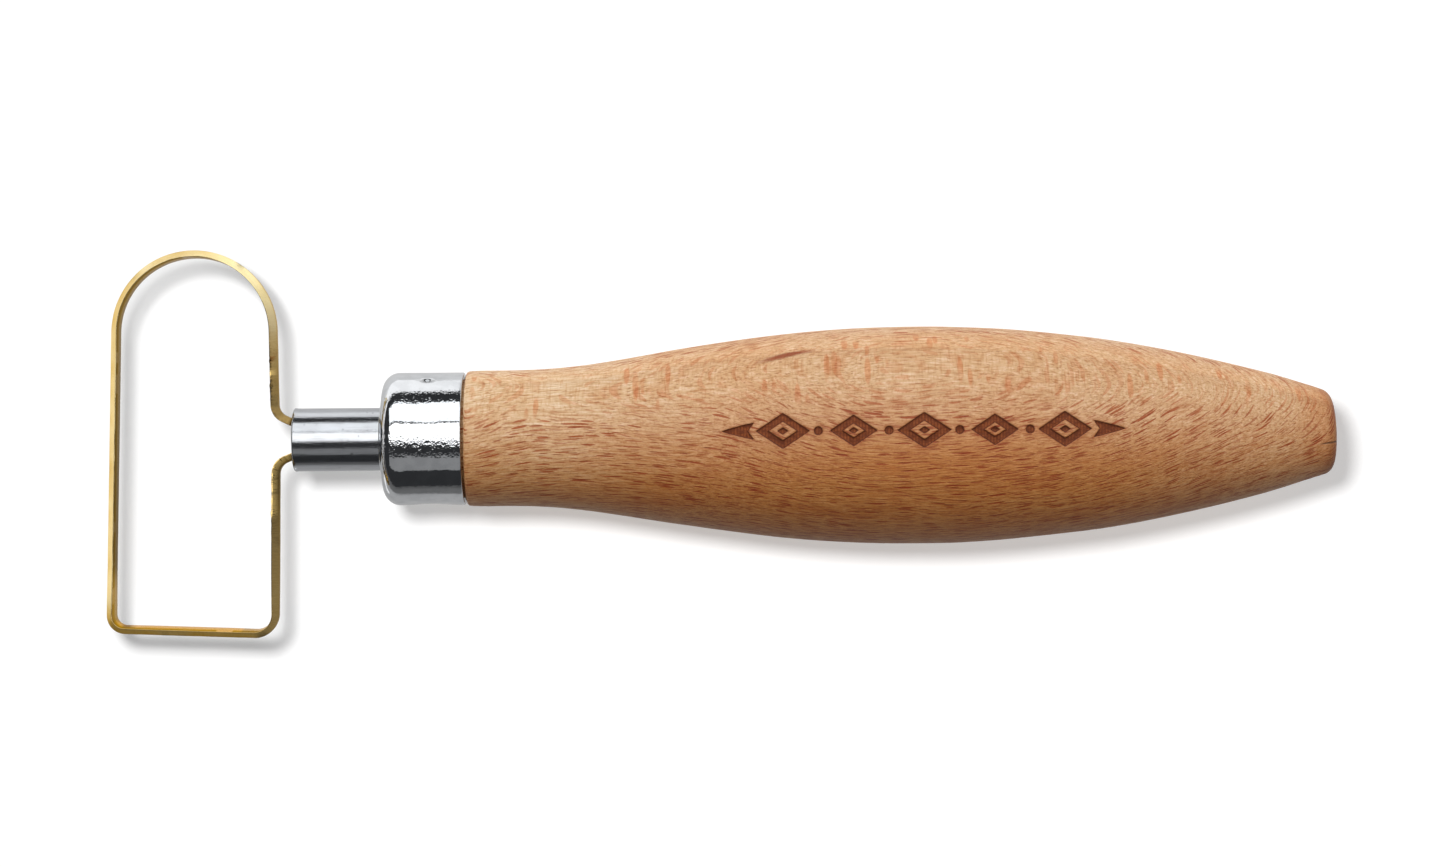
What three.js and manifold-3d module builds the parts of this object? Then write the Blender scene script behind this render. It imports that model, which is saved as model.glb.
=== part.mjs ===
// Clay modelling tool with a ribbon loop: a turned beech handle, a chromed ferrule, a short steel stem and one bent strip.
// Millimetres, +Z up. The tool lies on its belly with the handle along X: the loop is at -X, the butt at +X, and the loop's
// plane is horizontal. The origin is at the centre of the base of the bounding box.
// Below, "station" is a distance along the handle's axis, measured from the stem's front end towards the butt.
import * as THREE from "three";
import { mergeVertices } from "three/addons/utils/BufferGeometryUtils.js";
import Module from "manifold-3d";

// ---- driving dimensions ----
const GAP = 0.3; // clearance between neighbouring pieces

const STEM_R = 4.7625; // 3/8 in tube
const STEM_WALL = 0.89;
const STEM_LENGTH = 50;
const STEM_CHAMFER = 0.3;

const FERRULE_FRONT = 13.6; // station of the front face
const FERRULE_REAR = 25.9; // station of the open rim
const FERRULE_R = 10.05;
const FERRULE_WALL = 0.8;
const FERRULE_SHOULDER = 2.3; // radius of the drawn shoulder
const FERRULE_LIP = 0.45; // how far the lip round the stem stands proud of the front face
const STAKE_STATION = 20.6; // punched stake marks that lock the ferrule to the tenon
const STAKE_ANGLE = 28; // degrees from +Y towards +Z; the second mark is opposite
const STAKE_DEPTH = 0.35;
const STAKE_R = 1.1;

const HANDLE_FRONT = 26.2; // station of the shoulder behind the ferrule
const HANDLE_BUTT = 157.3; // station of the flat end
const TENON_R = FERRULE_R - FERRULE_WALL - GAP;
const BORE_R = STEM_R + GAP;
const BORE_END = 54.2; // station of the blind bore's bottom
const HANDLE_SIDES = 48;

// outer radius of the handle at each station
const HANDLE_PROFILE = [
  [26.2, 9.75], [26.6, 10.15], [27.4, 10.29], [34.2, 10.32], [38.7, 10.51],
  [43.3, 10.95], [47.8, 11.58], [52.3, 12.31], [56.9, 13.09], [61.4, 13.78],
  [65.9, 14.43], [70.5, 15.04], [75.0, 15.55], [79.5, 15.95], [84.1, 16.25],
  [88.6, 16.42], [91.7, 16.47], [97.7, 16.47], [102.4, 16.3], [107.7, 15.98], [112.2, 15.57],
  [116.7, 15.09], [121.3, 14.55], [125.8, 13.86], [130.4, 13.02], [134.8, 12.12],
  [139.2, 11.13], [143.7, 10.03], [148.3, 8.82], [152.8, 7.4], [155.4, 6.6],
  [156.4, 6.0], [157.0, 5.2], [157.3, 4.2],
];

const STRIP_THICKNESS = 1.05;
const STRIP_WIDTH = 4.5;
const STRIP_LAND = 1.5; // width left between the two ground bevels on the outward side
const LOOP_ARCH = { x: -15.0, y: 16.3, r: 12.0 };
const LOOP_CORNER_SQUARE = { x: -28.08, y: -28.57, r: 2.3 };
const LOOP_CORNER_NEAR = { x: -3.02, y: -29.53, r: 3.1 };
const NECK_UPPER = { x: -2.78, y: 3.85, r: 2.4 };
const NECK_LOWER = { x: -2.72, y: -3.52, r: 2.4 };
const LEG_BEND = { x: 2.25, y: 1.5, r: 3.0 };
const LEG_END = 11.5; // station where both legs end inside the stem

const RESIN_FRONT = 3.2;
const RESIN_REAR = 13.2;
const ADHESIVE_REAR = BORE_END - GAP;

// ---- solids ----
const wasm = await Module();
wasm.setup();

// A closed three.js geometry as a manifold solid, with its shared vertices merged and collapsed triangles dropped.
function solid(geometry) {
  const bare = geometry.clone();
  for (const name of ["normal", "uv"]) bare.deleteAttribute(name);
  const merged = mergeVertices(bare, 1e-4);
  const index = merged.index.array;
  const kept = [];
  for (let i = 0; i < index.length; i += 3) {
    const [a, b, c] = [index[i], index[i + 1], index[i + 2]];
    if (a !== b && b !== c && c !== a) kept.push(a, b, c);
  }
  const make = (tris) =>
    new wasm.Manifold(
      new wasm.Mesh({
        numProp: 3,
        vertProperties: merged.attributes.position.array,
        triVerts: new Uint32Array(tris),
      }),
    );
  const made = make(kept);
  if (made.volume() > 0) return made;
  for (let i = 0; i < kept.length; i += 3)
    [kept[i + 1], kept[i + 2]] = [kept[i + 2], kept[i + 1]];
  return make(kept);
}

function geometryOf(body) {
  const mesh = body.getMesh();
  const positions = new Float32Array(mesh.numVert * 3);
  for (let i = 0; i < mesh.numVert; i++)
    positions.set(
      mesh.vertProperties.subarray(i * mesh.numProp, i * mesh.numProp + 3),
      i * 3,
    );
  const geometry = new THREE.BufferGeometry()
    .setAttribute("position", new THREE.BufferAttribute(positions, 3))
    .setIndex(new THREE.BufferAttribute(new Uint32Array(mesh.triVerts), 1));
  geometry.computeVertexNormals();
  return geometry;
}

// Turned shape: [station, radius] pairs revolved about the X axis, with a flat facing straight down.
function turned(profile, sides) {
  const geometry = new THREE.LatheGeometry(
    profile.map(([station, radius]) => new THREE.Vector2(radius, station)),
    sides,
  );
  geometry.rotateY(Math.PI / sides);
  geometry.rotateZ(-Math.PI / 2);
  return solid(geometry);
}

function block(x0, x1, y0, y1, z0, z1) {
  const geometry = new THREE.BoxGeometry(x1 - x0, y1 - y0, z1 - z0);
  geometry.translate((x0 + x1) / 2, (y0 + y1) / 2, (z0 + z1) / 2);
  return solid(geometry);
}

// ---- handle: spindle, tenon under the ferrule and blind bore for the stem ----
const tenonFront = FERRULE_FRONT + FERRULE_WALL + GAP;
const handle = turned(
  [
    [BORE_END, 0],
    [BORE_END, BORE_R],
    [tenonFront, BORE_R],
    [tenonFront, TENON_R - 1.6],
    [tenonFront + 1.6, TENON_R],
    [HANDLE_FRONT, TENON_R],
    ...HANDLE_PROFILE,
    [HANDLE_BUTT, 0],
  ],
  HANDLE_SIDES,
);

// ---- ferrule: drawn cup with a rounded shoulder, a lipped hole for the stem and two stake marks ----
const shoulder = [];
for (let i = 0; i <= 6; i++) {
  const a = (i / 6) * (Math.PI / 2);
  shoulder.push([
    FERRULE_FRONT + FERRULE_SHOULDER * (1 - Math.sin(a)),
    FERRULE_R - FERRULE_SHOULDER * (1 - Math.cos(a)),
  ]);
}
const innerShoulder = FERRULE_SHOULDER - FERRULE_WALL;
const cup = turned(
  [
    [FERRULE_REAR, FERRULE_R - FERRULE_WALL],
    [FERRULE_REAR, FERRULE_R],
    ...shoulder,
    [FERRULE_FRONT, BORE_R + 0.6],
    [FERRULE_FRONT - FERRULE_LIP, BORE_R + 0.4],
    [FERRULE_FRONT - FERRULE_LIP, BORE_R],
    [FERRULE_FRONT + FERRULE_WALL, BORE_R],
    [FERRULE_FRONT + FERRULE_WALL, FERRULE_R - FERRULE_SHOULDER],
    [FERRULE_FRONT + FERRULE_WALL + 0.44, FERRULE_R - FERRULE_WALL - 0.44],
    [FERRULE_FRONT + FERRULE_WALL + innerShoulder, FERRULE_R - FERRULE_WALL],
    [FERRULE_REAR, FERRULE_R - FERRULE_WALL],
  ],
  HANDLE_SIDES,
);
const stake = (degrees) => {
  const a = THREE.MathUtils.degToRad(degrees);
  const reach = FERRULE_R - STAKE_DEPTH + STAKE_R;
  const geometry = new THREE.SphereGeometry(STAKE_R, 14, 10);
  geometry.translate(STAKE_STATION, reach * Math.cos(a), reach * Math.sin(a));
  return solid(geometry);
};
const ferrule = cup
  .subtract(stake(STAKE_ANGLE))
  .subtract(stake(STAKE_ANGLE + 180));

// ---- stem: steel tube, open at both ends ----
const stem = turned(
  [
    [0, STEM_R - STEM_WALL],
    [STEM_LENGTH, STEM_R - STEM_WALL],
    [STEM_LENGTH, STEM_R],
    [STEM_CHAMFER, STEM_R],
    [0, STEM_R - STEM_CHAMFER],
    [0, STEM_R - STEM_WALL],
  ],
  HANDLE_SIDES,
);

// ---- strip: one centreline of straight runs and bends, swept with the ground section ----
class Centreline extends THREE.Curve {
  constructor(stations) {
    super();
    this.stations = stations;
  }
  at(u) {
    const last = this.stations.length - 1;
    return this.stations[Math.min(last, Math.round(u * last))];
  }
  getPointAt(u, target = new THREE.Vector3()) {
    const s = this.at(u);
    return target.set(s.x, s.y, 0);
  }
  getTangentAt(u, target = new THREE.Vector3()) {
    const s = this.at(u);
    return target.set(s.tx, s.ty, 0).normalize();
  }
}

const stations = [];
function push(x, y, tx, ty) {
  stations.push({ x, y, tx, ty });
}
// A bend of the given radius at a corner between the directions from and to.
function bend(corner, from, to, steps) {
  const f = new THREE.Vector2(...from).normalize();
  const t = new THREE.Vector2(...to).normalize();
  const turn = Math.atan2(f.x * t.y - f.y * t.x, f.dot(t));
  const back = corner.r * Math.tan(Math.abs(turn) / 2);
  const side = Math.sign(turn);
  const cx = corner.x - f.x * back - f.y * corner.r * side;
  const cy = corner.y - f.y * back + f.x * corner.r * side;
  for (let i = 0; i <= steps; i++) {
    const a = (turn * i) / steps;
    const tx = f.x * Math.cos(a) - f.y * Math.sin(a);
    const ty = f.x * Math.sin(a) + f.y * Math.cos(a);
    push(cx + ty * corner.r * side, cy - tx * corner.r * side, tx, ty);
  }
}
const toward = (a, b) => [b.x - a.x, b.y - a.y];
const legUpper = LEG_BEND;
const legLower = { x: LEG_BEND.x, y: -LEG_BEND.y, r: LEG_BEND.r };
// the walls leave the arch on tangents to the next bends
function tangentPoint(point, side) {
  const dx = point.x - LOOP_ARCH.x;
  const dy = point.y - LOOP_ARCH.y;
  const d = Math.hypot(dx, dy);
  const a = Math.atan2(dy, dx) + side * Math.acos(LOOP_ARCH.r / d);
  return {
    a,
    x: LOOP_ARCH.x + LOOP_ARCH.r * Math.cos(a),
    y: LOOP_ARCH.y + LOOP_ARCH.r * Math.sin(a),
  };
}
const archStart = tangentPoint(NECK_UPPER, 1);
const archEnd = tangentPoint(LOOP_CORNER_SQUARE, -1);
let sweep = archEnd.a - archStart.a;
while (sweep < 0) sweep += 2 * Math.PI;

push(LEG_END, legUpper.y, -1, 0);
bend(legUpper, [-1, 0], toward(legUpper, NECK_UPPER), 3);
bend(NECK_UPPER, toward(legUpper, NECK_UPPER), toward(NECK_UPPER, archStart), 7);
for (let i = 0; i <= 24; i++) {
  const a = archStart.a + (sweep * i) / 24;
  push(
    LOOP_ARCH.x + LOOP_ARCH.r * Math.cos(a),
    LOOP_ARCH.y + LOOP_ARCH.r * Math.sin(a),
    -Math.sin(a),
    Math.cos(a),
  );
}
bend(LOOP_CORNER_SQUARE, toward(archEnd, LOOP_CORNER_SQUARE), toward(LOOP_CORNER_SQUARE, LOOP_CORNER_NEAR), 8);
bend(LOOP_CORNER_NEAR, toward(LOOP_CORNER_SQUARE, LOOP_CORNER_NEAR), toward(LOOP_CORNER_NEAR, NECK_LOWER), 8);
bend(NECK_LOWER, toward(LOOP_CORNER_NEAR, NECK_LOWER), toward(NECK_LOWER, legLower), 7);
bend(legLower, toward(NECK_LOWER, legLower), [1, 0], 3);
push(LEG_END, legLower.y, 1, 0);

// Section: x runs across the width of the strip and y through its thickness. Both rims are ground on the outward side,
// which leaves the cutting edges on the inside of the loop.
const w = STRIP_WIDTH / 2;
const h = STRIP_THICKNESS / 2;
const land = STRIP_LAND / 2;
const section = new THREE.Shape([
  new THREE.Vector2(-w, h),
  new THREE.Vector2(-w, h - 0.1),
  new THREE.Vector2(-land, -h),
  new THREE.Vector2(land, -h),
  new THREE.Vector2(w, h - 0.1),
  new THREE.Vector2(w, h),
]);
const strip = solid(
  new THREE.ExtrudeGeometry(section, {
    steps: stations.length - 1,
    bevelEnabled: false,
    extrudePath: new Centreline(stations),
  }),
);

// ---- resin: cast round the legs inside the stem, with a slot for each leg ----
const resinR = STEM_R - STEM_WALL - GAP;
const slot = (y) =>
  block(
    RESIN_FRONT - 1,
    LEG_END + GAP,
    y - h - GAP,
    y + h + GAP,
    -w - GAP,
    w + GAP,
  );
const resin = turned(
  [
    [RESIN_FRONT, 0],
    [RESIN_FRONT, resinR],
    [RESIN_REAR, resinR],
    [RESIN_REAR, 0],
  ],
  32,
)
  .subtract(slot(LEG_BEND.y))
  .subtract(slot(-LEG_BEND.y));

// ---- adhesive at the bottom of the bore ----
const adhesive = turned(
  [
    [STEM_LENGTH + GAP, 0],
    [STEM_LENGTH + GAP, STEM_R - 0.2],
    [STEM_LENGTH + GAP + 0.4, STEM_R],
    [ADHESIVE_REAR, STEM_R],
    [ADHESIVE_REAR, 0],
  ],
  32,
);

// ---- the tool ----
const finish = (color, roughness, metalness) =>
  new THREE.MeshStandardMaterial({ color, roughness, metalness });

const tool = new THREE.Group();
function place(name, body, material) {
  const mesh = new THREE.Mesh(geometryOf(body), material);
  mesh.name = name;
  tool.add(mesh);
}
place("handle", handle, finish(0xcf9f74, 0.55, 0));
place("ferrule", ferrule, finish(0xd5d8da, 0.12, 1));
place("stem_tube", stem, finish(0xb4b6ba, 0.28, 1));
place("ribbon_loop", strip, finish(0xd2ad62, 0.25, 1));
place("resin_plug", resin, finish(0x6a5a40, 0.35, 0));
place("adhesive_slug", adhesive, finish(0xd8cf9a, 0.4, 0));

// Stand the tool on its belly, centred on the origin.
const bounds = new THREE.Box3().setFromObject(tool, true);
tool.position.set(
  -(bounds.min.x + bounds.max.x) / 2,
  -(bounds.min.y + bounds.max.y) / 2,
  -bounds.min.z,
);

export default tool;
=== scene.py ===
import math

import bpy
import numpy as np
from mathutils import Matrix, Vector


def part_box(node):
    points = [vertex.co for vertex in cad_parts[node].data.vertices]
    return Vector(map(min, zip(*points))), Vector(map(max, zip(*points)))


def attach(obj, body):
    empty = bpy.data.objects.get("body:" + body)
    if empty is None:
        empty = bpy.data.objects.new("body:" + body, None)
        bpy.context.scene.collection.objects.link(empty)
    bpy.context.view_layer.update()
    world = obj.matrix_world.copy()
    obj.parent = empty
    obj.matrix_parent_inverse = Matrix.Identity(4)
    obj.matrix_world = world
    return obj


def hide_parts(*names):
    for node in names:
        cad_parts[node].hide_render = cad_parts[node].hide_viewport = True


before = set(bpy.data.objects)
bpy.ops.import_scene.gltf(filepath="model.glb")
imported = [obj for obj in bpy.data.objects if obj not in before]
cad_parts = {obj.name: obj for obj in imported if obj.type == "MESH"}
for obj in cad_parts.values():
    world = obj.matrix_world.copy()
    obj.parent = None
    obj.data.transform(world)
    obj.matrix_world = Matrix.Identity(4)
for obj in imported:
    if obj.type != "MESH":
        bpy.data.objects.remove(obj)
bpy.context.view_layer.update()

# The grip's axis in the row frame, and the row X of the stem's front end (station 0), in millimetres.
handle_lo, handle_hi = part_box("handle")
stem_lo, stem_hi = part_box("stem_tube")
AXIS_Y = (handle_lo.y + handle_hi.y) * 500.0
AXIS_Z = (handle_lo.z + handle_hi.z) * 500.0
STATION_0 = stem_lo.x * 1000.0
MM = 0.001
RNG = np.random.default_rng(20331)


# ------------------------------------------------------------------ camera
def make_camera():
    """Straight above the tool, at the distance that gives the reference's perspective, turned by half a degree."""
    cam = bpy.data.cameras.new("view_camera")
    cam.lens = 88.79
    cam.sensor_width = 36.0
    cam.dof.use_dof = False
    cam.clip_start, cam.clip_end = 0.05, 20.0
    obj = bpy.data.objects.new("view_camera", cam)
    bpy.context.scene.collection.objects.link(obj)
    obj.location = ((STATION_0 + 64.86) * MM, (AXIS_Y + 0.458) * MM, (AXIS_Z + 540.0) * MM)
    obj.rotation_euler = (0.0, 0.0, -math.radians(0.4612))
    bpy.context.scene.camera = obj


make_camera()


# ------------------------------------------------------------------ mesh helpers
def smooth(lo, hi, x):
    t = np.clip((np.asarray(x, float) - lo) / (hi - lo), 0.0, 1.0)
    return t * t * (3.0 - 2.0 * t)


def make_object(name, verts_mm, faces, attributes=None, uvs=None, sharp_deg=38.0):
    """A mesh piece from points in millimetres (row frame) and polygons, with point attributes, corner UVs and sharp edges by angle."""
    mesh = bpy.data.meshes.new(name)
    mesh.from_pydata((np.asarray(verts_mm, float) * MM).tolist(), [], [list(map(int, f)) for f in faces])
    mesh.validate()
    mesh.update()
    for key, values in (attributes or {}).items():
        a = mesh.attributes.new(key, "FLOAT", "POINT")
        a.data.foreach_set("value", np.asarray(values, np.float32))
    if uvs is not None:
        layer = mesh.uv_layers.new(name="sweep")
        layer.data.foreach_set("uv", np.asarray(uvs, np.float32).ravel())
    mesh.polygons.foreach_set("use_smooth", np.ones(len(mesh.polygons), bool))
    mark_sharp(mesh, sharp_deg)
    obj = bpy.data.objects.new(name, mesh)
    bpy.context.scene.collection.objects.link(obj)
    return obj


def mark_sharp(mesh, degrees):
    n = len(mesh.polygons)
    normals = np.zeros(n * 3, np.float32)
    mesh.polygons.foreach_get("normal", normals)
    normals = normals.reshape(-1, 3)
    loops = len(mesh.loops)
    edge_of = np.zeros(loops, np.int32)
    mesh.loops.foreach_get("edge_index", edge_of)
    totals = np.zeros(n, np.int32)
    mesh.polygons.foreach_get("loop_total", totals)
    poly_of = np.repeat(np.arange(n), totals)
    order = np.argsort(edge_of, kind="stable")
    e, p = edge_of[order], poly_of[order]
    same = np.nonzero(e[1:] == e[:-1])[0]
    cosines = np.einsum("ij,ij->i", normals[p[same]], normals[p[same + 1]])
    sharp = np.zeros(len(mesh.edges), bool)
    sharp[e[same][cosines < math.cos(math.radians(degrees))]] = True
    attribute = mesh.attributes.get("sharp_edge") or mesh.attributes.new("sharp_edge", "BOOLEAN", "EDGE")
    attribute.data.foreach_set("value", sharp)


def revolve(name, station, radius, angles, radial=None, closed=False, extra=None, sharp_deg=38.0, flip=False, shift=None):
    """A turned piece. station and radius give the profile; angles run from straight up towards +Y. radial(stations, angles, radii)
    adds a radial displacement, extra gives point attributes on the same grid, and shift moves a station by its angle."""
    station, radius, angles = (np.asarray(a, float) for a in (station, radius, angles))
    pole0, pole1 = (not closed) and radius[0] < 1e-6, (not closed) and radius[-1] < 1e-6
    body = slice(1 if pole0 else 0, len(station) - (1 if pole1 else 0))
    s, r = station[body], radius[body]
    S, A = np.meshgrid(s, angles, indexing="ij")
    R = np.repeat(r[:, None], len(angles), axis=1)
    if radial is not None:
        R = R + radial(S, A, R)
    X = S if shift is None else S + shift(S, A, R)
    rows, cols = R.shape
    pts = np.stack([X + STATION_0, AXIS_Y + R * np.sin(A), AXIS_Z + R * np.cos(A)], axis=-1).reshape(-1, 3)
    i = np.arange(rows if closed else rows - 1)
    j = np.arange(cols)
    I, J = np.meshgrid(i, j, indexing="ij")
    I2, J2 = (I + 1) % rows, (J + 1) % cols
    quads = np.stack([I * cols + J, I * cols + J2, I2 * cols + J2, I2 * cols + J], axis=-1).reshape(-1, 4)
    faces = quads.tolist()
    attributes = {k: v.reshape(-1) for k, v in (extra(S, A, R) if extra else {}).items()}
    extra_pts = []
    if pole0:
        k = len(pts) + len(extra_pts)
        extra_pts.append([station[0] + STATION_0, AXIS_Y, AXIS_Z])
        faces += [[k, b, a] for a, b in zip(range(cols), list(range(1, cols)) + [0])]
    if pole1:
        k = len(pts) + len(extra_pts)
        base = (rows - 1) * cols
        extra_pts.append([station[-1] + STATION_0, AXIS_Y, AXIS_Z])
        faces += [[k, base + a, base + b] for a, b in zip(range(cols), list(range(1, cols)) + [0])]
    if extra_pts:
        pts = np.vstack([pts, extra_pts])
        attributes = {k: np.concatenate([v, np.zeros(len(extra_pts))]) for k, v in attributes.items()}
    if flip:
        faces = [f[::-1] for f in faces]
    obj = make_object(name, pts, faces, attributes, sharp_deg=sharp_deg)
    return obj


def volume_sign(obj):
    mesh = obj.data
    mesh.calc_loop_triangles()
    t = np.zeros(len(mesh.loop_triangles) * 3, np.int32)
    mesh.loop_triangles.foreach_get("vertices", t)
    co = np.zeros(len(mesh.vertices) * 3, np.float32)
    mesh.vertices.foreach_get("co", co)
    v = co.reshape(-1, 3).astype(float)[t.reshape(-1, 3)]
    return float(np.einsum("ij,ij->i", v[:, 0], np.cross(v[:, 1], v[:, 2])).sum())


def face_outward(obj):
    if volume_sign(obj) < 0:
        obj.data.flip_normals()
    return obj


def arc(cx, cy, r, a0, a1, n):
    """Points of an arc in (station, radius) space; angles in degrees, 0 along +station."""
    a = np.radians(np.linspace(a0, a1, n))
    return np.stack([cx + r * np.cos(a), cy + r * np.sin(a)], axis=-1)


def curve_noise(x, seed, scales, amount):
    """A smooth one-dimensional wander, the same on each run."""
    rng = np.random.default_rng(seed)
    out = np.zeros_like(np.asarray(x, float))
    for s in scales:
        out = out + np.sin(np.asarray(x, float) / s * 2 * math.pi + rng.uniform(0, 2 * math.pi)) / len(scales)
    return out * amount


# The strip's section from the middle of its inner face round by the upper rim to the outer land: (outward, up).
SECTION = np.array([
    (-0.525, 0.0), (-0.525, 2.16), (-0.500, 2.225), (-0.455, 2.25), (-0.415, 2.225),
    (0.490, 0.800), (0.520, 0.735), (0.525, 0.66), (0.525, 0.0),
    (0.525, -0.66), (0.520, -0.735), (0.490, -0.800), (-0.415, -2.225), (-0.455, -2.25), (-0.500, -2.225), (-0.525, -2.16),
])
SECTION_LENGTH = float(np.hypot(*np.diff(np.vstack([SECTION, SECTION[:1]]), axis=0).T).sum())


# ------------------------------------------------------------------ node helpers
class Nodes:
    """Short names for building a material's node tree."""

    def __init__(self, name):
        self.material = bpy.data.materials.new(name)
        self.material.use_nodes = True
        self.tree = self.material.node_tree
        self.tree.nodes.clear()
        self.out = self.add("ShaderNodeOutputMaterial")

    def add(self, kind, **settings):
        node = self.tree.nodes.new(kind)
        for key, value in settings.items():
            setattr(node, key, value)
        return node

    def put(self, socket, value):
        if hasattr(value, "is_output") or isinstance(value, bpy.types.NodeSocket):
            self.tree.links.new(value, socket)
        elif value is not None:
            socket.default_value = value

    def math(self, operation, a, b=None, c=None, clamp=False):
        node = self.add("ShaderNodeMath", operation=operation, use_clamp=clamp)
        for k, v in enumerate((a, b, c)):
            if v is not None:
                self.put(node.inputs[k], v)
        return node.outputs[0]

    def vec(self, operation, a, b=None, scale=None):
        node = self.add("ShaderNodeVectorMath", operation=operation)
        self.put(node.inputs[0], a)
        if b is not None:
            self.put(node.inputs[1], b)
        if scale is not None:
            self.put(node.inputs["Scale"], scale)
        return node.outputs["Value"] if operation in ("LENGTH", "DOT_PRODUCT", "DISTANCE") else node.outputs["Vector"]

    def combine(self, x, y, z):
        node = self.add("ShaderNodeCombineXYZ")
        for k, v in enumerate((x, y, z)):
            self.put(node.inputs[k], v)
        return node.outputs[0]

    def split(self, v):
        node = self.add("ShaderNodeSeparateXYZ")
        self.put(node.inputs[0], v)
        return node.outputs

    def noise(self, v, scale=1.0, detail=2.0, rough=0.5, distortion=0.0, color=False):
        node = self.add("ShaderNodeTexNoise", noise_dimensions="3D")
        self.put(node.inputs["Vector"], v)
        node.inputs["Scale"].default_value = scale
        node.inputs["Detail"].default_value = detail
        node.inputs["Roughness"].default_value = rough
        node.inputs["Distortion"].default_value = distortion
        return node.outputs["Color"] if color else node.outputs["Fac"]

    def voronoi(self, v, scale=1.0, randomness=1.0, feature="F1"):
        node = self.add("ShaderNodeTexVoronoi", voronoi_dimensions="3D", feature=feature)
        self.put(node.inputs["Vector"], v)
        node.inputs["Scale"].default_value = scale
        node.inputs["Randomness"].default_value = randomness
        return node.outputs["Distance"], node.outputs["Color"]

    def ramp(self, value, lo, hi, out_lo=0.0, out_hi=1.0, smooth=True):
        node = self.add("ShaderNodeMapRange", interpolation_type="SMOOTHSTEP" if smooth else "LINEAR", clamp=True)
        self.put(node.inputs["Value"], value)
        node.inputs["From Min"].default_value = lo
        node.inputs["From Max"].default_value = hi
        node.inputs["To Min"].default_value = out_lo
        node.inputs["To Max"].default_value = out_hi
        return node.outputs["Result"]

    def mix(self, factor, a, b, blend="MIX"):
        node = self.add("ShaderNodeMix", data_type="RGBA", blend_type=blend, clamp_factor=True)
        self.put(node.inputs["Factor"], factor)
        self.put(node.inputs[6], a if not isinstance(a, tuple) else (*a, 1.0)[:4])
        self.put(node.inputs[7], b if not isinstance(b, tuple) else (*b, 1.0)[:4])
        return node.outputs[2]

    def bump(self, height, strength, distance, normal=None):
        node = self.add("ShaderNodeBump")
        self.put(node.inputs["Height"], height)
        node.inputs["Strength"].default_value = strength
        node.inputs["Distance"].default_value = distance
        if normal is not None:
            self.put(node.inputs["Normal"], normal)
        return node.outputs["Normal"]

    def attribute(self, name):
        return self.add("ShaderNodeAttribute", attribute_type="GEOMETRY", attribute_name=name).outputs["Fac"]

    def shader(self, **values):
        node = self.add("ShaderNodeBsdfPrincipled")
        for key, value in values.items():
            socket = node.inputs[key.replace("_", " ")]
            if isinstance(value, tuple) and len(value) == 3:
                value = (*value, 1.0)
            self.put(socket, value)
        self.tree.links.new(node.outputs[0], self.out.inputs["Surface"])
        return node

    def millimetres(self):
        """Object coordinates in millimetres, with the grip's axis as the line y = z = 0 and x as the station."""
        coords = self.add("ShaderNodeTexCoord").outputs["Object"]
        scaled = self.vec("SCALE", coords, scale=1000.0)
        return self.vec("SUBTRACT", scaled, (STATION_0, AXIS_Y, AXIS_Z))


# ------------------------------------------------------------------ beech
# slope of the grain against the grip's axis, from the ferrule to the butt
SLOPE = [(0, 0.13), (26, 0.14), (40, 0.12), (52, 0.05), (62, -0.05), (72, -0.10), (84, -0.07), (94, 0.0),
         (104, 0.06), (116, 0.12), (130, 0.17), (145, 0.20), (160, 0.20)]


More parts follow.
